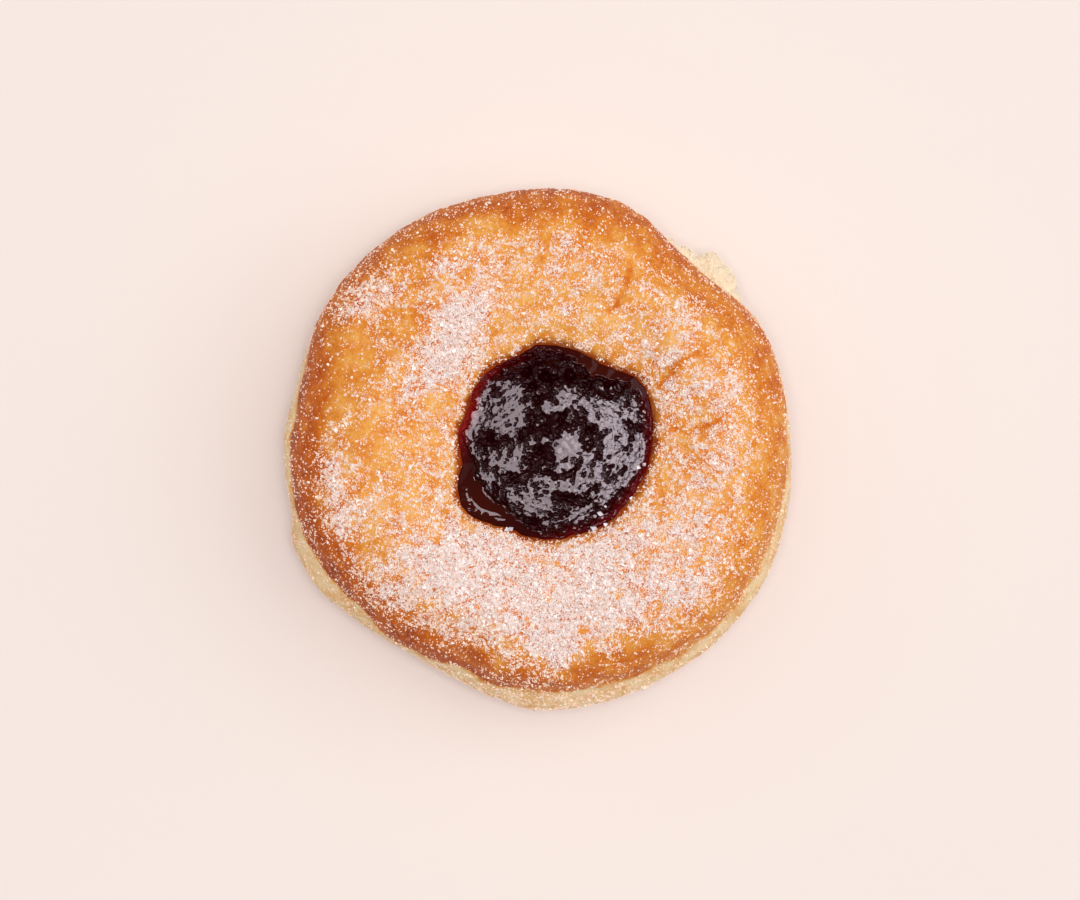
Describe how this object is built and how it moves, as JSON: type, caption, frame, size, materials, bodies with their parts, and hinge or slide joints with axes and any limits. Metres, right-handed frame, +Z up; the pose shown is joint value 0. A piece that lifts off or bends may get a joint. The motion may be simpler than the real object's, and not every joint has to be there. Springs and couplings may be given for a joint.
{
  "type": "jelly filled doughnut",
  "caption": "Round fried dough bun with a hollow in its top that is filled with set red jelly.",
  "frame": {"origin": "on the table, under the middle of the doughnut", "axes": "+Z up out of the table through the jelly, +X towards the side that the jelly sits nearer to, +Y across it"},
  "size_m": [0.0903, 0.0924, 0.0328],
  "materials": {
    "crust": "fried yeast dough, golden to orange brown, pale cream at the waist, faintly greasy",
    "jelly": "set red fruit jelly, almost black where deep, wet gloss",
    "sugar": "loose caster sugar crystals"
  },
  "bodies": {
    "root": {"dough": "crust", "jelly": "jelly"}
  },
  "joints": []
}
